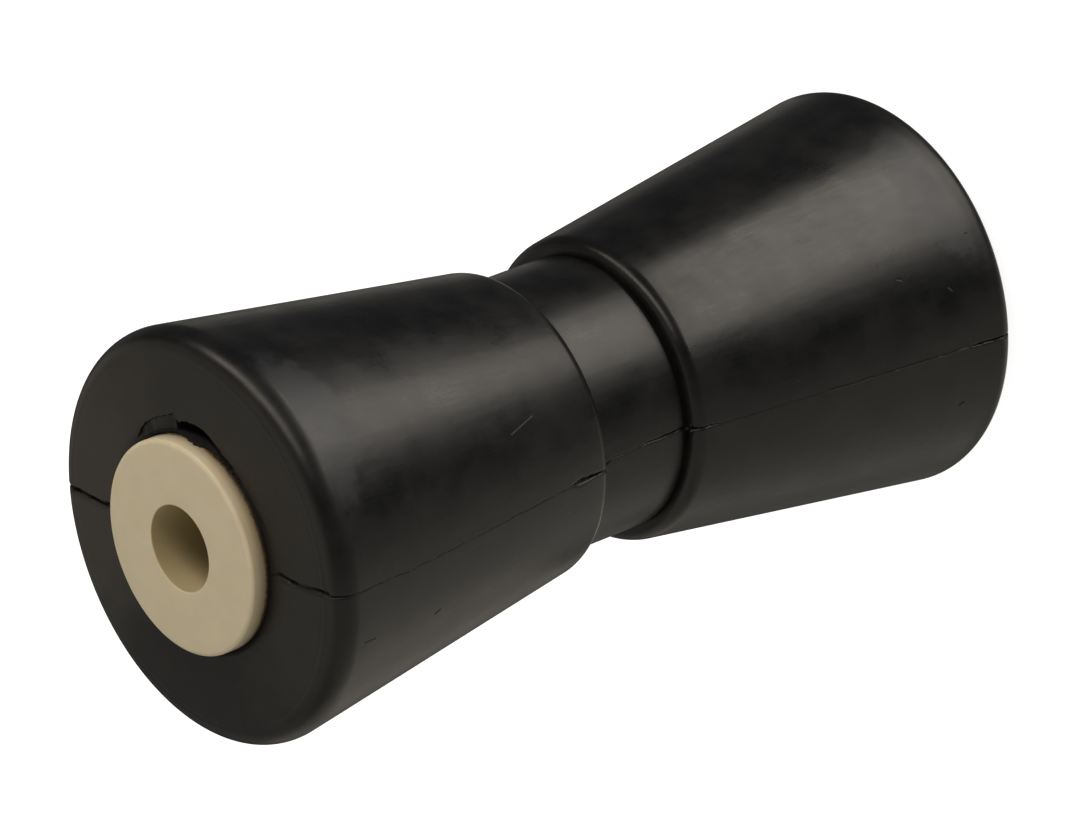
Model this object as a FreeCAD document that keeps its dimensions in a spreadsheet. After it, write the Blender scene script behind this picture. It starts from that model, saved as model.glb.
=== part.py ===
# Boat trailer keel roller, built as a parametric document in millimetres.
# The roller stands on one end: +Z runs along its axis, and the origin is the centre of the lower end.
# A black rubber moulding in the shape of an hourglass is bonded round a tube of cream nylon.
# A boat's keel runs in the waist between the two cones, and the tube turns on the trailer's spindle.

import FreeCAD, Part
import os
import Sketcher

Vector = FreeCAD.Vector

# The driving dimensions: name in the sheet, value in mm or degrees, meaning.
SIZES = (
    ("rubber_length", 200.8, "rubber, from end face to end face"),
    ("end_diameter", 95.2, "a cone where it would meet its end face with no rounding"),
    ("waist_diameter", 63.5, "band between the shoulders"),
    ("waist_length", 25.2, "from shoulder to shoulder"),
    ("shoulder_step", 3.4, "how far each shoulder stands out from the waist"),
    ("rim_radius", 5.3, "rounding of the rim round each end face"),
    ("shoulder_radius", 3.7, "rounding of each shoulder"),
    ("core_diameter", 48.5, "outside of the nylon tube"),
    ("core_proud", 4.35, "how far the tube stands out of each end face"),
    ("bore_diameter", 19.4, "hole for a 3/4 inch spindle"),
    ("core_edge_chamfer", 0.7, "chamfer of the tube's outer edges"),
    ("bore_chamfer", 0.2, "chamfer at each mouth of the bore"),
    ("seam_width", 0.6, "line that the parting faces of the mould left"),
    ("seam_depth", 0.4, "depth of that line"),
    ("tear_start", 50.0, "angle from the seam at which the tear in the upper end face starts"),
    ("tear_sweep", 49.0, "angle that the tear takes"),
    ("tear_reach", 4.5, "how far the tear reaches out from the tube"),
    ("tear_depth", 5.0, "depth of the tear"),
    ("tear_skin", 0.6, "rubber that is left on the tube inside the tear"),
    ("flap_sweep", 32.0, "angle of the thin flap beside the tear"),
    ("flap_depth", 1.1, "how far the flap lies below the end face"),
)

# Outer edges of the tear and of the flap: share of the sweep, share of the reach.
TEAR_EDGE = ((0.0, 0.25), (0.16, 0.5), (0.34, 0.57), (0.48, 0.92), (0.67, 0.95), (0.82, 0.8), (1.0, 1.0))
FLAP_EDGE = ((0.0, 1.0), (0.34, 0.83), (0.71, 0.82), (0.95, 0.6), (1.0, 0.25))

ORIGIN = (-1, 1)  # a sketch's own origin
START, END, CENTRE = 1, 2, 3  # points of a line, an arc or a circle
FULL_TURN = 360.0
OVERCUT = 1.0  # how far a cutting profile reaches past the surface that it cuts
NEAR = 0.01  # two lengths this close are the same length
LARGEST_ROUNDING = 1.12  # of a shoulder, as a share of its step

doc = FreeCAD.newDocument("keel_roller")


def make_sheet():
    sheet = doc.addObject("Spreadsheet::Sheet", "Sizes")
    for row, (alias, value, meaning) in enumerate(SIZES, start=1):
        sheet.set(f"A{row}", meaning)
        sheet.set(f"B{row}", str(value))
        sheet.setAlias(f"B{row}", alias)
    doc.recompute()
    return sheet


sheet = make_sheet()


def amount(expression):
    """The present value of an expression of the sheet."""
    return float(sheet.evalExpression(expression))


def new_body(name):
    body = doc.addObject("PartDesign::Body", name)
    body.Label = name
    return body


def origin_feature(body, role):
    return next(feature for feature in body.Origin.OriginFeatures if feature.Role == role)


def new_sketch(body, name, role, raised_by=None):
    """A sketch on one of the body's own planes, or raised above it by an expression of the sheet."""
    sketch = body.newObject("Sketcher::SketchObject", name)
    sketch.AttachmentSupport = [(origin_feature(body, role), "")]
    sketch.MapMode = "FlatFace"
    if raised_by:
        sketch.setExpression("AttachmentOffset.Base.z", raised_by)
    return sketch


def tie(sketch, kind, where, expression):
    """A dimension bound to an expression of the sheet."""
    index = sketch.addConstraint(Sketcher.Constraint(kind, *where, amount(expression)))
    sketch.setExpression(f"Constraints[{index}]", expression)


def draw_polygon(sketch, corners):
    """Closed outline of straight lines. Each corner is the expressions of its x and its y."""
    points = [Vector(amount(x), amount(y), 0) for x, y in corners]
    for here, there in zip(points, points[1:] + points[:1]):
        sketch.addGeometry(Part.LineSegment(here, there), False)
    for index, (x, y) in enumerate(corners):
        following = (index + 1) % len(corners)
        sketch.addConstraint(Sketcher.Constraint("Coincident", index, END, following, START))
        tie(sketch, "DistanceX", (*ORIGIN, index, START), x)
        tie(sketch, "DistanceY", (*ORIGIN, index, START), y)


def round_corner(sketch, index, radius):
    """Rounds the corner where line number index starts, and keeps the corner for its dimensions."""
    arc = sketch.GeometryCount
    sketch.fillet(index, START, amount(radius), True, True)
    tie(sketch, "Radius", (arc,), radius)


def rings(feature, diameter):
    """Names of the circular edges that have this diameter."""
    radius = amount(diameter) / 2
    edges = enumerate(feature.Shape.Edges, start=1)
    return [f"Edge{n}" for n, edge in edges if abs(getattr(edge.Curve, "Radius", 0) - radius) < NEAR]


def cut(feature):
    """Makes sure that the feature has cut new faces, and that one solid is left."""
    doc.recompute()
    if len(feature.Shape.Faces) <= len(feature.BaseFeature.Shape.Faces) or len(feature.Shape.Solids) != 1:
        raise RuntimeError(f"{feature.Label} has not cut as it should")


def make_core():
    body = new_body("core_bush")
    section = new_sketch(body, "core_section", "XY_Plane")
    for index, diameter in enumerate(("Sizes.core_diameter", "Sizes.bore_diameter")):
        section.addGeometry(Part.Circle(Vector(), Vector(0, 0, 1), amount(diameter) / 2), False)
        section.addConstraint(Sketcher.Constraint("Coincident", index, CENTRE, *ORIGIN))
        tie(section, "Diameter", (index,), diameter)
    tube = body.newObject("PartDesign::Pad", "core_tube")
    tube.Profile = section
    tube.setExpression("Length", "Sizes.rubber_length + 2 * Sizes.core_proud")
    doc.recompute()

    edges = body.newObject("PartDesign::Chamfer", "core_edges")
    edges.Base = (tube, rings(tube, "Sizes.core_diameter"))
    edges.setExpression("Size", "Sizes.core_edge_chamfer")
    cut(edges)

    mouths = body.newObject("PartDesign::Chamfer", "bore_mouths")
    mouths.Base = (edges, rings(edges, "Sizes.bore_diameter"))
    mouths.setExpression("Size", "Sizes.bore_chamfer")
    cut(mouths)
    return body


def outline(tube, sunk):
    """The rubber's outline from the tube over both rims and back, each corner sunk into it by a depth."""
    rise = "(Sizes.end_diameter / 2 - Sizes.waist_diameter / 2 - Sizes.shoulder_step)"
    tilt = f"atan({rise} / (Sizes.rubber_length / 2 - Sizes.waist_length / 2))"
    rim = f"Sizes.end_diameter / 2 - {sunk} * (1 / cos({tilt}) + tan({tilt}))"
    shoulder = f"Sizes.waist_diameter / 2 + Sizes.shoulder_step - {sunk} * (1 / cos({tilt}) - tan({tilt}))"
    waist = f"Sizes.waist_diameter / 2 - {sunk}"
    upper_face = f"Sizes.rubber_length - {sunk}"
    lower_face = sunk
    upper_shoulder = f"(Sizes.rubber_length + Sizes.waist_length) / 2 + {sunk}"
    lower_shoulder = f"(Sizes.rubber_length - Sizes.waist_length) / 2 - {sunk}"
    return (
        (tube, upper_face),
        (rim, upper_face),
        (shoulder, upper_shoulder),
        (waist, upper_shoulder),
        (waist, lower_shoulder),
        (shoulder, lower_shoulder),
        (rim, lower_face),
        (tube, lower_face),
    )


def draw_outline(body, name, tube, sunk="0", beyond=()):
    """A sketch of the outline with its outer corners rounded, closed by the corners beyond it."""
    sketch = new_sketch(body, name, "XZ_Plane")
    draw_polygon(sketch, outline(tube, sunk) + beyond)
    rim = f"Sizes.rim_radius - {sunk}"
    shoulder = f"min(Sizes.shoulder_radius; {LARGEST_ROUNDING} * Sizes.shoulder_step) - {sunk}"
    for corner, radius in ((1, rim), (2, shoulder), (5, shoulder), (6, rim)):
        round_corner(sketch, corner, radius)
    return sketch


def cut_seam(body):
    """The mould's parting line: a slot that follows the outline on two opposite sides."""
    inside = f"Sizes.core_diameter / 2 - {OVERCUT}"
    outside = f"Sizes.end_diameter / 2 + {OVERCUT}"
    above = f"Sizes.rubber_length + {OVERCUT}"
    below = f"-{OVERCUT}"
    beyond = ((inside, below), (outside, below), (outside, above), (inside, above))
    seam = body.newObject("PartDesign::Pocket", "seam")
    seam.Profile = draw_outline(body, "seam_outline", inside, "Sizes.seam_depth", beyond)
    seam.SideType = "Symmetric"
    seam.setExpression("Length", "Sizes.seam_width")
    cut(seam)

    both_sides = body.newObject("PartDesign::PolarPattern", "seam_both_sides")
    both_sides.Originals = [seam]
    both_sides.Axis = (origin_feature(body, "Z_Axis"), [""])
    both_sides.Angle = FULL_TURN
    both_sides.Occurrences = 2
    body.Tip = both_sides
    cut(both_sides)


def cut_tear(body, name, edge, start, sweep, inside, depth):
    """A ragged pocket in the upper end face. Its edge is shares of sweep and reach, inside is a radius."""
    ragged = new_sketch(body, f"{name}_outline", "XY_Plane", raised_by="Sizes.rubber_length")
    outer = [(along, f"(Sizes.core_diameter / 2 + {reach} * Sizes.tear_reach)") for along, reach in edge]
    inner = [(along, f"({inside})") for along, reach in reversed(edge)]
    corners = []
    for along, radius in outer + inner:
        angle = f"({start} + {along} * {sweep})"
        corners.append((f"{radius} * cos({angle})", f"{radius} * sin({angle})"))
    draw_polygon(ragged, corners)
    pocket = body.newObject("PartDesign::Pocket", name)
    pocket.Profile = ragged
    pocket.setExpression("Length", depth)
    cut(pocket)


def make_rubber():
    body = new_body("roller_body")
    section = draw_outline(body, "rubber_section", "Sizes.core_diameter / 2")
    hourglass = body.newObject("PartDesign::Revolution", "hourglass")
    hourglass.Profile = section
    hourglass.ReferenceAxis = (section, ["V_Axis"])
    hourglass.Angle = FULL_TURN
    doc.recompute()
    cut_seam(body)
    skin = "Sizes.core_diameter / 2 + Sizes.tear_skin"
    cut_tear(body, "tear", TEAR_EDGE, "Sizes.tear_start", "Sizes.tear_sweep", skin, "Sizes.tear_depth")
    tube = f"Sizes.core_diameter / 2 - {OVERCUT}"
    end_of_tear = "Sizes.tear_start + Sizes.tear_sweep"
    cut_tear(body, "flap", FLAP_EDGE, end_of_tear, "Sizes.flap_sweep", tube, "Sizes.flap_depth")
    body.setExpression("Placement.Base.z", "Sizes.core_proud")
    return body


def check_and_write(bodies):
    doc.recompute()
    for thing in doc.Objects:
        if "Invalid" in thing.State or "Error" in thing.State:
            raise RuntimeError(f"{thing.Label} has the state {thing.State}")
    for body in bodies:
        if body.Shape.isNull() or not body.Shape.isValid():
            raise RuntimeError(f"{body.Label} has no valid shape")
    os.makedirs("parts", exist_ok=True)
    for body in bodies:
        body.Shape.exportStep(f"parts/{body.Label}.step")


check_and_write((make_core(), make_rubber()))
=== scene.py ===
import bpy
import bmesh
from math import atan2, ceil, cos, degrees, exp, hypot, radians, sin
from mathutils import Matrix, Vector, noise


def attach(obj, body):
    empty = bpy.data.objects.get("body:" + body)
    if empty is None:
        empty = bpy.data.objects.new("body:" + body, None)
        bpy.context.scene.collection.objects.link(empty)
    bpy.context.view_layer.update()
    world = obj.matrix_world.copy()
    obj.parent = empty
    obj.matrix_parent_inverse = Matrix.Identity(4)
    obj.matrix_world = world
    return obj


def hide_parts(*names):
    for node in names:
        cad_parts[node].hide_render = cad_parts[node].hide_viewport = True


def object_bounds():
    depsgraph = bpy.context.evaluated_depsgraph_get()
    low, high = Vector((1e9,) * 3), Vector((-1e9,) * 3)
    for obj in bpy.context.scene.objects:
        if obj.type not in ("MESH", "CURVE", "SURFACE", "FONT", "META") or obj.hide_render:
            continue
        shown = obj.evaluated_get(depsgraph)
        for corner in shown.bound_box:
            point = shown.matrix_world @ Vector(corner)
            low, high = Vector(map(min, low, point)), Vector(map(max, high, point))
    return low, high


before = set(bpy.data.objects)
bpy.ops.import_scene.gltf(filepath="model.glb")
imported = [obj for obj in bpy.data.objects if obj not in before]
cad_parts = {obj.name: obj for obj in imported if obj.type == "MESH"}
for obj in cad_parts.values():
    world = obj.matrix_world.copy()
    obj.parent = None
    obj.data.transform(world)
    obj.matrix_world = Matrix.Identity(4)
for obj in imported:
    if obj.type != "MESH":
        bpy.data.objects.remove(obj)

cadLow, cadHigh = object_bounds()
middle = Vector((0, 0, (cadLow.z + cadHigh.z) / 2))
millimetre = 0.001
midway = round(middle.z / millimetre, 2)      # height of the middle in millimetres


# the camera stands where the photograph was taken from, and is rolled as the roller lay in it
cameraLook = {
    "azimuth": 28.0,       # degrees round the roller, from the mould line
    "elevation": 37.0,     # degrees above the level of the end faces
    "roll": 111.0,         # degrees from upright
    "distance": 1.4434,
    "lens": 216.8,         # mm on a 36 mm sensor
    "aim": (-0.0007, -0.0013, 0.0016),     # from the middle of the roller
}


def viewAxes(azimuth, elevation, roll):
    back = Vector((cos(elevation) * cos(azimuth), cos(elevation) * sin(azimuth), sin(elevation)))
    level = Vector((0, 0, 1)).cross(back).normalized()
    upright = back.cross(level)
    up = upright * cos(roll) + level * sin(roll)
    return up.cross(back), up, back


def addCamera():
    look = cameraLook
    right, up, back = viewAxes(radians(look["azimuth"]), radians(look["elevation"]), radians(look["roll"]))
    lens = bpy.data.cameras.new("camera")
    lens.lens = look["lens"]
    lens.sensor_width = 36.0
    lens.clip_start = 0.01
    lens.clip_end = 50.0
    camera = bpy.data.objects.new("camera", lens)
    place = Matrix.Translation(middle + Vector(look["aim"]) + back * look["distance"])
    camera.matrix_world = place @ Matrix((right, up, back)).transposed().to_4x4()
    bpy.context.scene.collection.objects.link(camera)
    bpy.context.scene.camera = camera
    print("camera set")


addCamera()


# lamps: panels at one height over the roller as it lay in the photograph, where "along" runs
# to its far end and "across" away from the camera, both as shares of the height, as sizes are
lampLook = {
    "card": {"along": -0.05, "across": -0.05, "lift": -0.2,
             "sizes": (0.30, 0.14), "glow": 0.19, "warmth": 1.0},
    "softbox": {"along": 0.57, "across": -0.64, "sizes": (0.28, 1.50), "glow": 4.9, "warmth": 0.57},
    "softboxMiddle": {"along": 0.96, "across": -0.575, "sizes": (0.82, 0.98), "glow": 2.55, "warmth": 0.57},
    "softboxFar": {"along": 1.46, "across": -0.53, "sizes": (0.89, 0.48), "glow": 1.4, "warmth": 0.57},
    "skirt": {"along": 1.5, "across": -1.55, "sizes": (1.6, 1.1), "glow": 0.3, "warmth": 0.4},
    "strip": {"along": -0.68, "across": 0.07, "sizes": (0.38, 1.55), "glow": 3.6, "warmth": 0.7},
}
lampHeight = 0.5
warmLoss = (0.12, 0.28)        # green and blue that the warmest lamp lacks
uppermost = radians(85.5)      # the side of the roller that was on top in the photograph
overhead = Vector((cos(uppermost), sin(uppermost), 0))
alongRoller = Vector((0, 0, -1))
acrossRoller = overhead.cross(alongRoller)


def addLamp(name, along, across, sizes, glow, warmth, lift=1.0):
    lamp = bpy.data.lights.new(name, "AREA")
    lamp.shape = "RECTANGLE"
    lamp.size = sizes[0] * lampHeight
    lamp.size_y = sizes[1] * lampHeight
    lamp.color = (1, 1 - warmLoss[0] * warmth, 1 - warmLoss[1] * warmth)
    lamp.energy = 4 * lamp.size * lamp.size_y * glow      # so that the panel's face has this brightness
    thing = bpy.data.objects.new(name, lamp)
    thing.location = middle + (overhead * lift + alongRoller * along + acrossRoller * across) * lampHeight
    thing.rotation_mode = "QUATERNION"
    facing = Matrix((alongRoller, acrossRoller, overhead))
    if lift < 0:        # it lies under the roller and shines up
        facing = Matrix((alongRoller, -acrossRoller, -overhead))
    thing.rotation_quaternion = facing.transposed().to_quaternion()
    thing.visible_camera = False
    bpy.context.scene.collection.objects.link(thing)


for name, values in lampLook.items():
    addLamp(name, **values)
print(len(lampLook), "lamps added")


# lengths of both pieces are in millimetres, and heights are from the lower end of the tube

# the rubber, an hourglass turned from its outline
rubberLook = {
    "low": 4.35,               # its end faces
    "high": 205.15,
    "tube": 24.25,             # radius of the tube that it holds
    "end": 47.64,              # radius of the upper cone where it would meet its end face
    "lowerEnd": 47.17,         # the same for the lower one
    "shoulder": 35.15,         # radius of a cone where it would meet its shoulder
    "waist": 31.75,
    "waistLow": 92.15,
    "waistHigh": 117.35,
    "rim": (5.4, 6.5),         # where the rounding of the upper rim starts, on the face and on the cone
    "lowerRim": (4.2, 4.2),    # the same for the lower rim, on the cone and on the face
    "bead": (3.1, 3.0),        # the same for the upper shoulder, on the cone and on its side
    "lowerBead": (2.5, 3.0),   # the same for the lower one, on its side and on the cone
    "nook": (0.5, 0.5),        # the same beside the waist
    "groove": (0.5, 0.9, 0.54),        # depth, width and floor's width of the groove at the lower shoulder
    "spacing": 2.4,            # of the points along a straight part
    # degrees where the first sector starts, then the degrees of each sector and its lines of points,
    # which are closest round the tear
    "start": -8.0,
    "sectors": [(16, 12), (16, 12), (24, 30), (24, 48), (24, 54), (24, 54)] + [(23.2, 18)] * 10,
}
# the rings of points round the tube in the torn end face: how far from the tube each one is turned,
# then where the tear takes it: out by a share of its reach and so much more, and down by a share of
# its depth, or up by a share of the lip
tearRings = {
    "lipTop": (0.3, 0.0, 0.25, 0.0, 0.8),
    "lipSide": (0.6, 0.0, 0.5, 0.1, 0.3),
    "innerFoot": (0.8, 0.0, 0.7, 0.85, 0.0),
    "floor": (1.9, 0.5, 0.35, 1.0, 0.0),
    "outerFoot": (3.0, 1.0, -0.25, 0.85, 0.0),
    "outerSide": (3.3, 1.0, -0.06, 0.25, 0.0),
    "outerTop": (3.4, 1.0, 0.0, 0.0, 0.0),
    "beside": (3.9, 1.0, 0.5, 0.0, 0.0),
}
# how ragged the tear is: its reach, the lip and the lip's side in millimetres, and two rings by shares
# of the depth; each with the row, size and seed of its pattern
tearRagged = {
    "reach": (0.3, 0, 1.1, 4.1),
    "lip": (0.35, 0, 0.7, 7.7),
    "lipSide": (0.15, 3, 0.6, 2.3),
    "floor": (0.2, 5, 1.0, 3.9),
    "outerFoot": (0.2, 7, 0.8, 5.2),
}
# the tear, by degrees round the roller: how far it reaches out from the tube, how deep it goes
# and how high the rubber that stuck to the tube stands up beside it
tearReach = [(16, 3.4), (24, 2.2), (33, 1.7), (40, 1.5), (50, 1.6), (58, 1.9), (64, 2.0), (68, 2.5),
             (71, 2.8), (76, 3.6), (80, 3.8), (84, 3.7), (88, 3.6), (92, 3.45), (95, 2.95), (97, 3.4),
             (98.5, 4.8), (102, 4.3), (106, 4.0), (115, 3.8), (121, 3.5), (126, 3.0), (130, 2.3),
             (132, 1.9), (136, 3.4)]
tearDepth = [(16, 0.0), (24, 0.15), (40, 0.4), (50, 0.8), (58, 1.6), (64, 2.8), (70, 4.6), (95, 5.0),
             (98, 4.0), (99.5, 0.9), (106, 0.55), (114, 0.4), (118, 0.45), (119.5, 0.9), (124, 0.6),
             (129, 0.8), (131.5, 0.3), (135, 0.0)]
tearLip = [(16, -0.2), (72, -0.35), (74, 0.1), (76, 0.6), (79, 1.2), (80.5, 1.5), (83, 1.1), (87, 0.8),
           (90, 0.35), (94, -0.1), (100, -0.3), (130, -0.35), (138, -0.2)]


def between(table, x):
    if x <= table[0][0]:
        return table[0][1]
    for (a, low), (b, high) in zip(table, table[1:]):
        if x <= b:
            return low + (high - low) * (x - a) / (b - a)
    return table[-1][1]


def betweenRows(table, x):
    return [between([(row[0], row[column]) for row in table], x) for column in (1, 2, 3)]


bendStep = 6        # degrees that a rounding turns from one point to the next


# the outline through the corners, where each rounding starts at its two distances from the corner
def roundedLine(corners, spacing):
    line = []
    for index, (corner, reach) in enumerate(corners):
        if not reach:
            line.append(corner)
            continue
        start = corner + (corners[index - 1][0] - corner).normalized() * reach[0]
        finish = corner + (corners[index + 1][0] - corner).normalized() * reach[1]
        bend = (corner - start).angle(finish - corner)
        steps = max(3, round(degrees(bend) / bendStep))
        for step in range(steps + 1):
            t = step / steps
            a, b, c = (1 - t) ** 2, 2 * t * (1 - t) * cos(bend / 2), t ** 2
            line.append((start * a + corner * b + finish * c) / (a + b + c))
    dense = [line[0]]
    for here, there in zip(line, line[1:]):
        parts = ceil((there - here).length / spacing)
        dense += [here.lerp(there, part / parts) for part in range(1, parts + 1)]
    return dense


def rubberOutline():
    look = rubberLook
    tube, end, waist, shoulder = look["tube"], look["end"], look["waist"], look["shoulder"]
    low, high, waistLow, waistHigh = look["low"], look["high"], look["waistLow"], look["waistHigh"]
    deep, groove, floor = look["groove"]
    corners = [
        ((tube + tearRings["beside"][0], high), None),
        ((end, high), look["rim"]),
        ((shoulder, waistHigh), look["bead"]),
        ((waist, waistHigh), look["nook"]),
        ((waist, waistLow + groove), None),
        ((waist - deep, waistLow + floor), None),
        ((waist - deep, waistLow), None),
        ((shoulder, waistLow), look["lowerBead"]),
        ((look["lowerEnd"], low), look["lowerRim"]),
        ((tube, low), None),
    ]
    line = roundedLine([(Vector(corner), reach) for corner, reach in corners], look["spacing"])
    inner = [Vector((tube + values[0], high)) for values in tearRings.values()][:-1]
    return [Vector((tube, high))] + inner + line


# turns the closed outline round the axis in sectors, each given as its degrees and how many lines
# it has, and every point keeps the number that it had in the outline
def turnOutline(outline, start, sectors):
    shape = bmesh.new()
    for angle, lines in sectors:
        sector = bmesh.new()
        ring = sector.verts.layers.int.new("ring")
        across, aside = cos(radians(start)), sin(radians(start))
        points = [sector.verts.new((p.x * across, p.x * aside, p.y)) for p in outline]
        for index, point in enumerate(points):
            point[ring] = index
        edges = [sector.edges.new(pair) for pair in zip(points, points[1:] + points[:1])]
        bmesh.ops.spin(sector, geom=points + edges, axis=(0, 0, 1), angle=radians(angle), steps=lines)
        mesh = bpy.data.meshes.new("sector")
        sector.to_mesh(mesh)
        sector.free()
        shape.from_mesh(mesh)
        bpy.data.meshes.remove(mesh)
        start += angle
    bmesh.ops.remove_doubles(shape, verts=shape.verts, dist=0.0001)
    bmesh.ops.recalc_face_normals(shape, faces=shape.faces)
    return shape


def ragged(x, y, size, seed):
    fading, finer, layers = 0.8, 2.2, 3
    return noise.fractal(Vector((x / size, y / size, seed)), fading, finer, layers)


# moves the rings of points round the tube to the tear's edges, its floor and the lip beside the tube
def shapeTear(shape):
    tube, high = rubberLook["tube"], rubberLook["high"]
    ring = shape.verts.layers.int["ring"]
    names = ["inside"] + list(tearRings)
    fullyTorn = 0.8        # the depth from which the edges are as ragged as they get

    for point in shape.verts:
        if point[ring] >= len(names):
            continue
        name = names[point[ring]]
        azimuth = degrees(atan2(point.co.y, point.co.x))
        if azimuth < -90:        # angles run from -90 to 270, clear of the tear
            azimuth += 360
        arc = radians(azimuth) * tube
        rough = {key: values[0] * ragged(arc, *values[1:]) for key, values in tearRagged.items()}
        depth = between(tearDepth, azimuth)
        torn = min(1, depth / fullyTorn)
        reach = between(tearReach, azimuth) + torn * rough["reach"]
        lip = between(tearLip, azimuth) + torn * rough["lip"]
        out, drop = 0.0, -lip
        if name != "inside":
            reachShare, more, depthShare, lipShare = tearRings[name][1:]
            out = reach * reachShare + more
            drop = depth * depthShare - lip * lipShare
        if name == "lipSide":
            out += torn * rough[name]
        elif name in ("floor", "outerFoot"):
            drop += depth * rough[name]
        radius = tube + out
        point.co.x = radius * cos(radians(azimuth))
        point.co.y = radius * sin(radians(azimuth))
        point.co.z = high - drop


# the mould's parting line, which runs down both sides and over both ends
seamLook = {
    "band": 6.0,               # how far from its plane the faces are cut
    "loops": (0.0, 0.1, 0.2, 0.35, 0.6, 1.0, 1.7, 3.0),       # distances of the loops of points beside it
    "cuts": 3,                 # made in each length between two rings of points along it
    "shortest": 0.9,           # of the lengths that are divided
    "level": 0.05,             # the most that such a length may run aside
    "slack": 0.01,             # how far past the last loop but one it may lie
    "clear": 0.25,             # how far from the tube they are divided
    "start": 0.1,              # how far from the tube the line starts
    "wander": 0.16,
    "fineWander": 0.064,
    "usual": 0.9,              # share of its depth that its pattern plays about
    "shallowest": 0.1,         # share of its depth that is left everywhere
    "widening": 0.4,           # how unevenly wide it is
    "fold": 100.0,             # height where its patterns change over from the lower end's to the upper's
}
# size and seed of the patterns along it
seamPatterns = {"wander": (4.0, 1.3), "fineWander": (1.1, 2.9), "depth": (2.2, 6.1), "width": (1.7, 8.3)}
# on the front side by height, on the other side, and on the end faces by radius:
# how far aside it runs, how deep it is (or how high, where the mould let rubber out) and half its width
seamFront = [(6, 0.0, 0.6, 0.2), (16, 0.0, 0.5, 0.2), (18, 0.0, -0.1, 0.15), (54, -0.2, -0.1, 0.15),
             (60, 0.0, 0.05, 0.12), (85, 0.0, 0.05, 0.12), (89, 0.3, 0.4, 0.2), (92.5, 0.0, 0.6, 0.25),
             (103.5, -0.3, 0.5, 0.2), (105, -0.4, 0.15, 0.14), (114, -0.6, 0.2, 0.14),
             (116.3, -1.7, 0.6, 0.25), (117.5, -1.7, 0.8, 0.3), (119, -0.9, 0.6, 0.25),
             (123.5, -0.7, 0.7, 0.3), (126, -0.6, 1.3, 0.5), (128.7, -0.6, 1.2, 0.6),
             (130.3, -0.5, 0.2, 0.15), (134, -0.5, 0.13, 0.11), (165, -0.8, 0.13, 0.11),
             (175, -0.9, 0.13, 0.11), (184, -0.8, 0.13, 0.11), (193, -0.2, 0.13, 0.11),
             (199.5, -0.1, 0.2, 0.14), (206, -0.1, 0.6, 0.22)]
seamBack = [(4, 0.4, 0.5, 0.2), (14, 0.0, 0.2, 0.14), (90, -0.3, 0.22, 0.14), (110, 0.3, 0.3, 0.16),
            (117, 0.5, 0.5, 0.2), (150, -0.2, 0.2, 0.13), (196, 0.2, 0.22, 0.14), (202, 0.8, 0.5, 0.25),
            (206, 1.2, 0.7, 0.3)]
seamEnds = [(24, -0.7, 0.2, 0.2), (26.5, 0.1, 0.45, 0.35), (28.2, 0.45, 1.0, 0.6), (29.5, 0.3, 0.9, 0.55),
            (31.7, -0.2, 0.9, 0.5), (37.8, 0.3, 0.9, 0.52), (41, 0.7, 1.1, 0.6), (45, 0.2, 0.9, 0.48),
            (47, -0.1, 0.8, 0.38)]


# loops of points beside the parting line, and more points along it
def addSeamPoints(shape):
    look = seamLook
    faces = [face for face in shape.faces if abs(face.calc_center_median().y) < look["band"]]
    edges = dict.fromkeys(edge for face in faces for edge in face.edges)
    points = dict.fromkeys(point for face in faces for point in face.verts)
    beside = faces + list(edges) + list(points)
    for out in [-y for y in look["loops"][:0:-1]] + list(look["loops"]):
        made = bmesh.ops.bisect_plane(shape, geom=beside, dist=0.00005,
                                      plane_co=(0, out, 0), plane_no=(0, 1, 0))
        beside = made["geom"]

    far = look["loops"][-2] + look["slack"]
    inner = rubberLook["tube"] + look["clear"]

    def runsAlong(edge):
        first, last = (point.co for point in edge.verts)
        if abs(first.y - last.y) > look["level"] or edge.calc_length() < look["shortest"]:
            return False
        return all(abs(place.y) < far and hypot(place.x, place.y) > inner for place in (first, last))

    along = [edge for edge in shape.edges if runsAlong(edge)]
    bmesh.ops.subdivide_edges(shape, edges=along, cuts=look["cuts"], use_grid_fill=True)


# cuts the parting line, and each point keeps how much of the crack it is in, for the painted shade that
# darkens the rubber's colour there
def cutSeam(shape):
    look, patterns = seamLook, seamPatterns
    widest = look["loops"][-1]
    shape.normal_update()
    crack = shape.verts.layers.float.new("crack")
    moves = []
    for point in shape.verts:
        x, y, z = point.co
        radius = hypot(x, y)
        if abs(y) > widest or radius < rubberLook["tube"] + look["start"]:
            continue
        side = 1 if x > 0 else -1
        if abs(point.normal.z) > 0.9:        # on an end face
            aside, depth, half = betweenRows(seamEnds, radius)
        else:
            aside, depth, half = betweenRows(seamFront if x > 0 else seamBack, z)
        path = z + radius * (1 if z > look["fold"] else -1)
        rough = {name: ragged(path, side, *values) for name, values in patterns.items()}
        aside += look["wander"] * rough["wander"] + look["fineWander"] * rough["fineWander"]
        depth *= max(look["shallowest"], look["usual"] + rough["depth"])
        bite = exp(-(y / (half * (1 + look["widening"] * rough["width"]))) ** 2)
        hold = 1 - abs(y) / widest
        moves.append((point, point.normal * (-depth * bite) + Vector((0, aside * hold, 0))))
        point[crack] = bite if depth > 0 else 0.0
    for point, move in moves:
        point.co += move


sharpAngle = 42        # degrees between faces that meet in a sharp edge


def addPiece(name, shape, node, mat):
    bmesh.ops.scale(shape, vec=(millimetre, millimetre, millimetre), verts=shape.verts)
    for face in shape.faces:
        face.smooth = True
    mesh = bpy.data.meshes.new(name)
    shape.to_mesh(mesh)
    shape.free()
    mesh.set_sharp_from_angle(angle=radians(sharpAngle))
    piece = bpy.data.objects.new(name, mesh)
    bpy.context.scene.collection.objects.link(piece)
    mesh.materials.append(mat)
    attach(piece, "root")
    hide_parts(node)
    print(name, len(mesh.polygons), "faces")
    return piece


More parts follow.
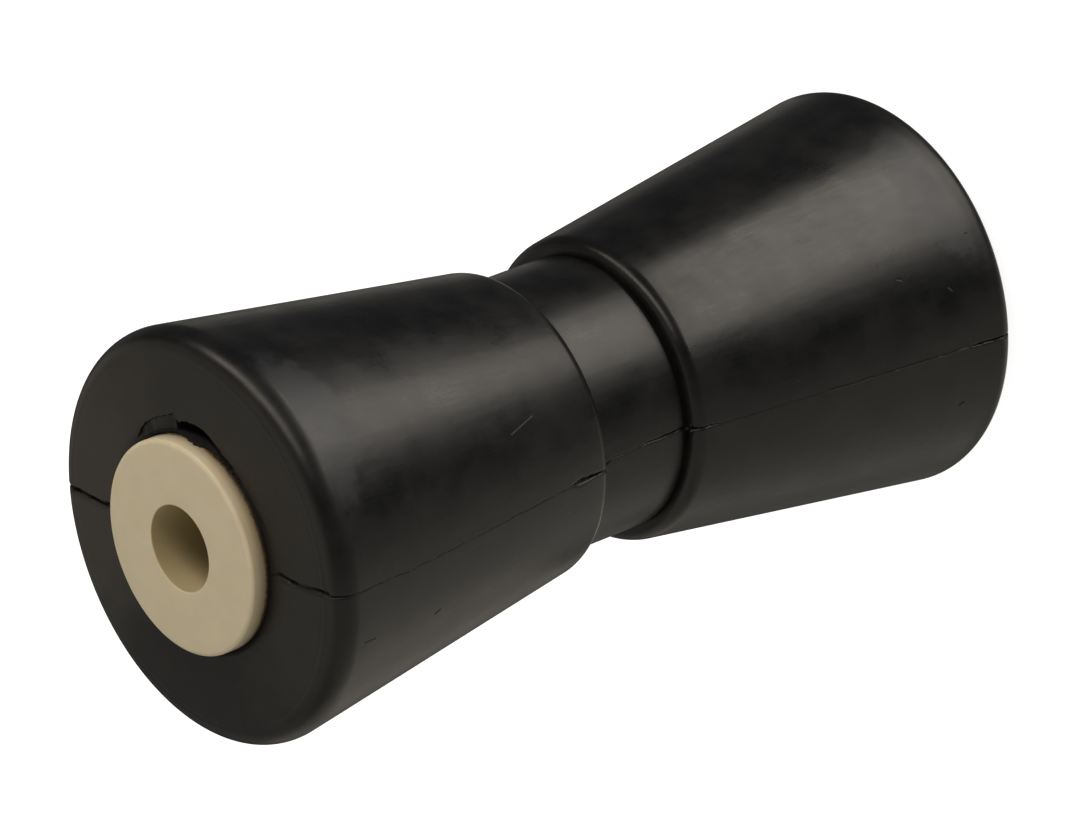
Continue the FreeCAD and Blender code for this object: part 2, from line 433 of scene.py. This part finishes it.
# a shader node with its settings, where an input takes a value or another node's output
def addNode(tree, kind, settings=None, inputs=None):
    node = tree.nodes.new("ShaderNode" + kind)
    for name, value in (settings or {}).items():
        setattr(node, name, value)
    for name, value in (inputs or {}).items():
        if isinstance(value, bpy.types.NodeSocket):
            tree.links.new(value, node.inputs[name])
        else:
            node.inputs[name].default_value = value
    return node


def reckon(tree, operation, first, second=0.0, third=0.0):
    return addNode(tree, "Math", {"operation": operation}, {0: first, 1: second, 2: third}).outputs[0]


def ease(tree, value, first, last, low=0.0, high=1.0):
    ramp = addNode(tree, "MapRange", {"interpolation_type": "SMOOTHSTEP"},
                   {"Value": value, "From Min": first, "From Max": last, "To Min": low, "To Max": high})
    return ramp.outputs["Result"]


# the same the other way round, from all to nothing
def fade(tree, value, first, last):
    return ease(tree, value, first, last, 1.0, 0.0)


def tinted(tree, share, under, over):
    mix = addNode(tree, "Mix", {"data_type": "RGBA"}, {"Factor": share})
    for name, value in (("A", under), ("B", over)):
        socket = next(i for i in mix.inputs if i.name == name and i.type == "RGBA")
        if isinstance(value, bpy.types.NodeSocket):
            tree.links.new(value, socket)
        else:
            socket.default_value = (*value, 1)
    return next(o for o in mix.outputs if o.type == "RGBA")


# materials work in millimetres
def startMaterial(name, ior):
    mat = bpy.data.materials.new(name)
    mat.use_nodes = True
    tree = mat.node_tree
    tree.nodes["Principled BSDF"].inputs["IOR"].default_value = ior
    place = addNode(tree, "TexCoord").outputs["Object"]
    place = addNode(tree, "VectorMath", {"operation": "SCALE"}, {0: place, "Scale": 1 / millimetre})
    return mat, tree, place.outputs[0]


# the height, its distance from the roller's middle, the distance from the axis and the angle round it
def findPlace(tree, place):
    parts = addNode(tree, "SeparateXYZ", {}, {0: place}).outputs
    fromMiddle = reckon(tree, "ABSOLUTE", reckon(tree, "SUBTRACT", parts["Z"], midway))
    squares = [reckon(tree, "POWER", parts[name], 2.0) for name in ("X", "Y")]
    radius = reckon(tree, "SQRT", reckon(tree, "ADD", *squares))
    return parts["Z"], fromMiddle, radius, reckon(tree, "ARCTAN2", parts["Y"], parts["X"])


# soft patches about "size" mm across, drawn out along the roller by "long"
def clouds(tree, place, size, detail=2.0, long=1.0, seed=0.0):
    spot = addNode(tree, "Mapping", {},
                   {"Vector": place, "Location": (seed, seed, 0), "Scale": (1, 1, 1 / long)})
    noisy = addNode(tree, "TexNoise", {}, {"Vector": spot.outputs[0], "Scale": 1 / size, "Detail": detail})
    return noisy.outputs["Fac"]


# scattered spots "size" mm across, on average "apart" mm from each other, in the share of places given
def spots(tree, place, apart, size, share, seed=0.0):
    spot = addNode(tree, "Mapping", {}, {"Vector": place, "Location": (seed, seed, seed)})
    cells = addNode(tree, "TexVoronoi", {}, {"Vector": spot.outputs[0], "Scale": 1 / apart})
    draw = addNode(tree, "SeparateColor", {}, {0: cells.outputs["Color"]}).outputs[0]
    chosen = reckon(tree, "GREATER_THAN", draw, 1 - share)
    core, rim = 0.25 * size / apart, 0.6 * size / apart
    return reckon(tree, "MULTIPLY", fade(tree, cells.outputs["Distance"], core, rim), chosen)


# a sum of patterns, each times its own factor
def addUp(tree, patterns, factors, total=0.0):
    for name, factor in factors.items():
        total = reckon(tree, "MULTIPLY_ADD", patterns[name], factor, total)
    return total


# the colours laid over each other, each where its pattern is
def layered(tree, patterns, look, names, colour):
    for name in names:
        colour = tinted(tree, patterns[name], colour, look[name])
    return colour


# the bump's height is in millimetres
def finishMaterial(tree, colour, rough, height):
    surface = tree.nodes["Principled BSDF"]
    tree.links.new(colour, surface.inputs["Base Color"])
    tree.links.new(rough, surface.inputs["Roughness"])
    bump = addNode(tree, "Bump", {}, {"Strength": 1.0, "Distance": millimetre, "Height": height})
    tree.links.new(bump.outputs["Normal"], surface.inputs["Normal"])


# a thin mark on the side of the roller, from one place to another, each given by its degrees round
# the roller and its height
def mark(tree, turn, height, start, finish, half):
    arcs = 40.0        # mm for each radian, about midway along a cone
    core, rim = 0.4 * half, 1.3 * half
    first = Vector((radians(start[0]) * arcs, start[1]))
    last = Vector((radians(finish[0]) * arcs, finish[1]))
    length = (last - first).length
    way = (last - first) / length
    arc = reckon(tree, "MULTIPLY_ADD", turn, arcs, -first.x)
    rise = reckon(tree, "SUBTRACT", height, first.y)
    along = reckon(tree, "MULTIPLY_ADD", rise, way.y, reckon(tree, "MULTIPLY", arc, way.x))
    aside = reckon(tree, "MULTIPLY_ADD", rise, way.x, reckon(tree, "MULTIPLY", arc, -way.y))
    inside = fade(tree, reckon(tree, "ABSOLUTE", aside), core, rim)
    inside = reckon(tree, "MULTIPLY", inside, ease(tree, along, -half, half))
    return reckon(tree, "MULTIPLY", inside, fade(tree, along, length - half, length + half))


# nicks, pits and a scratch: the kind, degrees and height of both ends, and half the width
rubberMarks = [
    ("torn", (-19.6, 172.3), (-20.4, 174.0), 0.3),
    ("torn", (-17.5, 17.7), (-18.4, 19.2), 0.35),
    ("torn", (25.7, 32.0), (26.5, 33.2), 0.25),
    ("torn", (-16.0, 197.0), (-16.6, 193.2), 0.14),
    ("scratched", (24.0, 145.9), (27.2, 137.9), 0.16),
    ("scratched", (17.6, 20.1), (19.0, 21.0), 0.2),
]
rubberFinish = {
    "ior": 1.4,
    "black": (0.0036, 0.0038, 0.0044),
    "worn": (0.0095, 0.0092, 0.0092),
    "bloomAndSheen": (0.043, 0.0395, 0.0345),        # dull bloom on the end faces, laid as painted reflection
    "hazeAndSheen": (0.020, 0.0215, 0.025),          # the band beside the rims, lighter as painted sheen where the highlight falls
    # torn rubber, and painted shade beside the tube, in the groove and in the crack
    "torn": (0.003, 0.003, 0.003),
    "scratched": (0.03, 0.029, 0.027),
    "specks": (0.05, 0.048, 0.045),
    "pits": (0.002, 0.002, 0.002),
    "dustiness": 0.7,
    "wornFrom": (0.3, 0.75),   # values of the mottle where worn rubber starts and is whole
    "hazeAndSheenFrom": (0.3, 0.55),   # the same for the haze's painted sheen
    "drift": 0.6,              # radians by which the mottle moves the edges of bloom and haze, with their painted reflection and sheen
    "ring": 41.8,              # radius of the faint ring on the end faces
    "ringEdge": (0.1, 0.7),
    "ringFace": (99.8, 100.3),         # from the roller's middle, as for the rims
    "rims": (93.0, 96.0),
    "rimFaces": (96.5, 99.0),
    "rimFacesLeft": 0.3,       # what the faces have of the rims' roughness
    "patterns": {
        "mottle": {"size": 9.0, "detail": 5.0},
        "small": {"size": 1.4, "detail": 3.0, "seed": 7.0},
        "streaks": {"size": 0.7, "long": 22.0, "seed": 3.0},
        "broad": {"size": 3.2, "detail": 1.0, "long": 14.0, "seed": 11.0},
        "grain": {"size": 0.25, "detail": 1.0, "seed": 5.0},
    },
    "spots": {
        "pits": {"apart": 14.0, "size": 0.6, "share": 0.25, "seed": 2.0},
        "specks": {"apart": 7.0, "size": 0.45, "share": 0.3, "seed": 9.0},
    },
    "rough": 0.155,            # before what the patterns add
    "roughs": {"mottle": 0.2, "streaks": 0.1, "hazeAndSheen": 0.05, "rims": 0.1, "torn": 0.45},
    "heights": {"mottle": 0.08, "broad": 0.035, "streaks": 0.002, "small": 0.005, "grain": 0.0012,
                "pits": -0.06, "ring": -0.03},
    "markRough": {"torn": 0.4, "scratched": 0.15},
    "markHeights": {"torn": -0.1, "scratched": 0.02},
}


# the dull band beside each rim, with painted sheen only on the span where the highlight falls: by degrees
# round the roller, and by millimetres from its middle
hazeAndSheenLook = {
    "comes": (36, 60),
    "goes": (72, 94),
    "inner": (89.5, 92.5),
    "outer": (93.0, 95.0),
    "deeper": 6.0,             # how much further it reaches in the middle of its span round the roller
    "ragged": 5.0,
    "whole": 0.4,              # share of that span's strength from which it is whole
}


def hazeAndSheenBand(tree, turn, fromMiddle, broad):
    look = hazeAndSheenLook
    span = ease(tree, turn, *map(radians, look["comes"]))
    span = reckon(tree, "MULTIPLY", span, fade(tree, turn, *map(radians, look["goes"])))
    shifted = reckon(tree, "MULTIPLY_ADD", span, look["deeper"], fromMiddle)
    shifted = reckon(tree, "MULTIPLY_ADD", broad, look["ragged"], shifted)
    band = ease(tree, shifted, *look["inner"])
    band = reckon(tree, "MULTIPLY", band, fade(tree, fromMiddle, *look["outer"]))
    return reckon(tree, "MULTIPLY", band, ease(tree, span, 0.0, look["whole"]))


# the bloom on the end faces, with painted reflection on the lit side and painted shade beside the tube: by
# degrees round the roller, from the dark side on, and by millimetres
bloomAndSheenLook = {
    "comes": (-58, -8),
    "grows": (112, 177),
    "comesBehind": (-101, -143),
    "ungrown": 0.4,            # how strong it is before it grows
    "faces": (99.0, 100.2),    # from the roller's middle
    "tube": (24.6, 28.5),      # from the axis
    "tubeLeft": 0.15,          # how strong it is beside the tube, darker there as painted shade
}


def faceBloomAndSheen(tree, turn, fromMiddle, radius):
    look = bloomAndSheenLook
    grown = ease(tree, turn, *map(radians, look["grows"]), look["ungrown"])
    front = reckon(tree, "MULTIPLY", grown, ease(tree, turn, *map(radians, look["comes"])))
    back = ease(tree, turn, *map(radians, look["comesBehind"]))
    bloomAndSheen = reckon(tree, "MAXIMUM", front, back)
    bloomAndSheen = reckon(tree, "MULTIPLY", bloomAndSheen, ease(tree, fromMiddle, *look["faces"]))
    return reckon(tree, "MULTIPLY", bloomAndSheen, ease(tree, radius, *look["tube"], look["tubeLeft"]))


# rubber beside the tube, the floors of tear and groove and the crack of the parting line, made dark and
# rough: partly torn rubber, partly painted shade in these hollows; by millimetres from the axis and, for
# the two floors, from the roller's middle
tornAndShadedLook = {
    "besideTube": (24.9, 25.8),
    "floor": (98.9, 99.4),
    "edge": (29.5, 30.5),      # where the tear ends
    "groove": (31.4, 31.65),
    "grooveFloor": (13.0, 14.0),
}


def tornAndShadedPlaces(tree, fromMiddle, radius):
    look = tornAndShadedLook
    torn = fade(tree, radius, *look["besideTube"])
    torn = reckon(tree, "MAXIMUM", torn, fade(tree, fromMiddle, *look["floor"]))
    torn = reckon(tree, "MULTIPLY", torn, fade(tree, radius, *look["edge"]))
    # painted shade on the groove's floor and in the crack
    groove = fade(tree, radius, *look["groove"])
    groove = reckon(tree, "MULTIPLY", groove, fade(tree, fromMiddle, *look["grooveFloor"]))
    crack = addNode(tree, "Attribute", {"attribute_name": "crack"}).outputs["Fac"]
    return reckon(tree, "MAXIMUM", reckon(tree, "MAXIMUM", torn, groove), crack)


def rubberMaterial():
    look = rubberFinish
    mat, tree, place = startMaterial("rubber", look["ior"])
    height, fromMiddle, radius, azimuth = findPlace(tree, place)
    patterns = {name: clouds(tree, place, **values) for name, values in look["patterns"].items()}
    mottle = patterns["mottle"]
    turn = reckon(tree, "MULTIPLY_ADD", mottle, look["drift"], azimuth)
    patterns["hazeAndSheen"] = hazeAndSheenBand(tree, turn, fromMiddle, patterns["broad"])
    patterns["bloomAndSheen"] = faceBloomAndSheen(tree, turn, fromMiddle, radius)
    patterns["torn"] = tornAndShadedPlaces(tree, fromMiddle, radius)
    for name, values in look["spots"].items():
        patterns[name] = spots(tree, place, **values)
    fromRing = reckon(tree, "ABSOLUTE", reckon(tree, "SUBTRACT", radius, look["ring"]))
    onFace = ease(tree, fromMiddle, *look["ringFace"])
    patterns["ring"] = reckon(tree, "MULTIPLY", fade(tree, fromRing, *look["ringEdge"]), onFace)
    rims = ease(tree, fromMiddle, *look["rimFaces"], 1.0, look["rimFacesLeft"])
    patterns["rims"] = reckon(tree, "MULTIPLY", rims, ease(tree, fromMiddle, *look["rims"]))
    rough = addUp(tree, patterns, look["roughs"], look["rough"])
    bump = addUp(tree, patterns, look["heights"])

    # the haze's painted sheen colours the mottle's light patches alone
    patterns["hazeAndSheen"] = reckon(tree, "MULTIPLY", patterns["hazeAndSheen"], ease(tree, mottle, *look["hazeAndSheenFrom"]))
    patterns["specks"] = reckon(tree, "MULTIPLY", patterns["specks"], look["dustiness"])
    colour = tinted(tree, ease(tree, mottle, *look["wornFrom"]), look["black"], look["worn"])
    # over the rubber's worn colour go the haze's painted sheen, the bloom's painted reflection, specks,
    # pits, and torn rubber with painted shade in its hollows
    colour = layered(tree, patterns, look, ("hazeAndSheen", "bloomAndSheen", "specks", "pits", "torn"), colour)

    for kind, start, finish, half in rubberMarks:
        share = mark(tree, azimuth, height, start, finish, half)
        colour = tinted(tree, share, colour, look[kind])
        rough = reckon(tree, "MULTIPLY_ADD", share, look["markRough"][kind], rough)
        bump = reckon(tree, "MULTIPLY_ADD", share, look["markHeights"][kind], bump)
    finishMaterial(tree, colour, rough, bump)
    return mat


def addRubber():
    shape = turnOutline(rubberOutline(), rubberLook["start"], rubberLook["sectors"])
    shapeTear(shape)
    addSeamPoints(shape)
    cutSeam(shape)
    return addPiece("rubber", shape, "roller_body", rubberMaterial())


addRubber()


# the nylon tube
nylonLook = {
    "outside": rubberLook["tube"],
    "bore": 9.7,
    "high": 2 * midway,
    "edge": (1.1, 0.9),        # rounding of its outer edges, on the face and on the side
    "mouth": (0.3, 0.3),       # the same for the bore
    "spacing": 4.0,
    "sectors": [(30, 20)] * 12,
}


nylonFinish = {
    "ior": 1.45,
    "cream": (0.790, 0.710, 0.525),
    "pale": (0.815, 0.735, 0.550),
    "specks": (0.85, 0.8, 0.68),
    "stains": (0.25, 0.2, 0.12),
    # painted shade inside the bore
    "bore": (0.53, 0.45, 0.265),
    "wallShade": (0.40, 0.30, 0.165),       # painted shade on the outside, the more the nearer to the rubber
    "rootShade": (0.06, 0.045, 0.025),      # painted shade in the corner there
    "strengths": {"specks": 0.5, "stains": 0.35, "wallShade": 0.95},
    "paleFrom": (0.35, 0.7),   # values of the mottle where it starts and where it is whole
    # millimetres from the axis, then from the roller's middle
    "boreWall": (9.72, 9.95),
    "outside": (23.6, 24.1),
    "wallShadeEnd": (100.6, 103.6),
    "rootShadeEnd": (100.4, 101.5),
    "rootShadeRagged": 0.9,
    "glowRadius": (1.0, 0.75, 0.42),   # how far light of each colour runs inside it, as shares
    "glowScale": 0.0014,               # of this, in metres
    "patterns": {
        "mottle": {"size": 7.0, "detail": 4.0, "seed": 1.0},
        "small": {"size": 0.9, "detail": 3.0, "seed": 6.0},
        "grain": {"size": 0.2, "detail": 1.0, "seed": 8.0},
    },
    "spots": {
        "specks": {"apart": 6.0, "size": 0.5, "share": 0.3, "seed": 3.0},
        "stains": {"apart": 11.0, "size": 0.5, "share": 0.3, "seed": 13.0},
    },
    "rough": 0.38,             # before what the patterns add
    "roughs": {"small": 0.16},
    "heights": {"mottle": 0.03, "small": 0.006, "grain": 0.002},
}


def nylonMaterial():
    look = nylonFinish
    mat, tree, place = startMaterial("nylon", look["ior"])
    surface = tree.nodes["Principled BSDF"]
    surface.inputs["Subsurface Weight"].default_value = 1.0
    surface.inputs["Subsurface Radius"].default_value = look["glowRadius"]
    surface.inputs["Subsurface Scale"].default_value = look["glowScale"]
    fromMiddle, radius = findPlace(tree, place)[1:3]
    patterns = {name: clouds(tree, place, **values) for name, values in look["patterns"].items()}
    for name, values in look["spots"].items():
        patterns[name] = spots(tree, place, **values)
    # painted shade on the bore's wall
    patterns["bore"] = fade(tree, radius, *look["boreWall"])
    # painted shade darkening the outer wall towards the rubber
    outside = ease(tree, radius, *look["outside"])
    patterns["wallShade"] = reckon(tree, "MULTIPLY", outside, fade(tree, fromMiddle, *look["wallShadeEnd"]))
    # painted shade in the corner where the tube meets the rubber, with a ragged edge
    uneven = reckon(tree, "SUBTRACT", patterns["small"], 0.5)        # half of it is over 0
    root = reckon(tree, "MULTIPLY_ADD", uneven, look["rootShadeRagged"], fromMiddle)
    patterns["rootShade"] = reckon(tree, "MULTIPLY", outside, fade(tree, root, *look["rootShadeEnd"]))
    for name, strength in look["strengths"].items():
        patterns[name] = reckon(tree, "MULTIPLY", patterns[name], strength)

    colour = tinted(tree, ease(tree, patterns["mottle"], *look["paleFrom"]), look["cream"], look["pale"])
    # painted shade in the bore, down the outer wall and in its corner is laid over the nylon's colour
    colour = layered(tree, patterns, look, ("specks", "stains", "bore", "wallShade", "rootShade"), colour)
    rough = addUp(tree, patterns, look["roughs"], look["rough"])
    finishMaterial(tree, colour, rough, addUp(tree, patterns, look["heights"]))
    return mat


def addNylon():
    look = nylonLook
    high = look["high"]
    corners = [
        ((look["bore"], high / 2), None),
        ((look["bore"], high), look["mouth"]),
        ((look["outside"], high), look["edge"]),
        ((look["outside"], 0), look["edge"][::-1]),
        ((look["bore"], 0), look["mouth"]),
        ((look["bore"], high / 2), None),
    ]
    outline = roundedLine([(Vector(corner), reach) for corner, reach in corners], look["spacing"])[:-1]
    shape = turnOutline(outline, 0, look["sectors"])
    return addPiece("tube", shape, "core_bush", nylonMaterial())


addNylon()


# world: white behind the roller; round it dim, with the table that it lay on, which is dark where
# the roller shaded it, and a pale wall at its near end
worldLook = {"dim": 0.065, "dimTint": (0.90, 0.95, 1.0, 1), "tint": (1.0, 0.92, 0.78, 1)}
# each zone's direction along, across and over the roller, how nearly a look must point there for the
# zone to start and to be full, and its brightness or share
worldZones = {
    "table": ((0, 0, -1), -0.2, 0.34, 0.49),
    "farTable": ((1, 0, 0), 0.5, 0.85, 0.25),          # the table is brighter past the roller's far end
    "shadeSide": ((0.78, 0.62, 0), 0.48, 0.58, 1),     # and dark where both of these are
    "shadeDepth": ((0, 0, -1), 0.57, 0.73, 1),
    "wall": ((-1, 0, -1.07), 0.0, 0.2, 0.14),
    "darkWall": ((0, -1, 0), 0.0, 0.8, 0.3),
    "nearWall": ((-1, 0, 0), 0.72, 0.97, 2.2),         # the wall is brighter straight before the near end
    "behind": ((0.3, 0.8, -0.52), 0.84, 0.93, 0.95),   # these three darken table and wall
    "doorway": ((-0.6, 0.675, -0.43), 0.82, 0.95, 0.5),
    "under": ((-0.22, 0.1, -0.97), 0.72, 0.92, 0.55),
}


def worldZone(tree, where, direction, first, last, level):
    along, across, over = direction
    towards = (alongRoller * along + acrossRoller * across + overhead * over).normalized()
    nearness = addNode(tree, "VectorMath", {"operation": "DOT_PRODUCT"}, {0: where, 1: towards})
    return ease(tree, nearness.outputs["Value"], first, last, 0.0, level)


def addWorld():
    look = worldLook
    world = bpy.data.worlds.new("studio")
    bpy.context.scene.world = world
    world.use_nodes = True
    tree = world.node_tree
    where = addNode(tree, "TexCoord").outputs["Generated"]
    zones = {name: worldZone(tree, where, *values) for name, values in worldZones.items()}

    def brighter(light, share):
        return reckon(tree, "ADD", light, reckon(tree, "MULTIPLY", light, share))

    def darker(light, share):
        return reckon(tree, "SUBTRACT", light, reckon(tree, "MULTIPLY", light, share))

    shade = reckon(tree, "MULTIPLY", zones["shadeSide"], zones["shadeDepth"])
    table = darker(brighter(zones["table"], zones["farTable"]), shade)
    wall = brighter(darker(zones["wall"], zones["darkWall"]), zones["nearWall"])
    pale = reckon(tree, "MAXIMUM", table, wall)
    for name in ("behind", "doorway", "under"):
        pale = darker(pale, zones[name])
    bright = addNode(tree, "Background", {}, {"Color": look["tint"], "Strength": pale})
    dim = addNode(tree, "Background", {}, {"Color": look["dimTint"], "Strength": look["dim"]})
    room = addNode(tree, "AddShader", {}, {0: bright.outputs[0], 1: dim.outputs[0]})
    ground = tree.nodes["Background"]
    ground.inputs["Color"].default_value = (1, 1, 1, 1)
    ground.inputs["Strength"].default_value = 1.0
    seen = addNode(tree, "LightPath").outputs["Is Camera Ray"]
    mix = addNode(tree, "MixShader", {}, {"Fac": seen, 1: room.outputs[0], 2: ground.outputs[0]})
    tree.links.new(mix.outputs[0], tree.nodes["World Output"].inputs["Surface"])
    print("world made")


addWorld()


floorLook = {"radius": 6.0, "colour": (0.8, 0.8, 0.8, 1), "glow": 0.9}


# the floor's glow is seen by the camera alone and lights nothing
def addFloor():
    look = floorLook
    mesh = bpy.data.meshes.new("floor")
    shape = bmesh.new()
    bmesh.ops.create_circle(shape, cap_ends=True, segments=64, radius=look["radius"])
    shape.to_mesh(mesh)
    shape.free()
    floor = bpy.data.objects.new("floor", mesh)
    bpy.context.scene.collection.objects.link(floor)
    floor.visible_shadow = False
    floor.visible_glossy = False
    mat = bpy.data.materials.new("floorPaint")
    mat.use_nodes = True
    tree = mat.node_tree
    tree.nodes.remove(tree.nodes["Principled BSDF"])
    paint = addNode(tree, "BsdfDiffuse", {}, {"Color": look["colour"]})
    seen = addNode(tree, "LightPath").outputs["Is Camera Ray"]
    glow = addNode(tree, "Emission", {}, {"Strength": reckon(tree, "MULTIPLY", seen, look["glow"])})
    both = addNode(tree, "AddShader", {}, {0: paint.outputs[0], 1: glow.outputs[0]})
    tree.links.new(both.outputs[0], tree.nodes["Material Output"].inputs["Surface"])
    mesh.materials.append(mat)
    print("floor laid")


addFloor()

bpy.context.scene.view_settings.view_transform = "Standard"
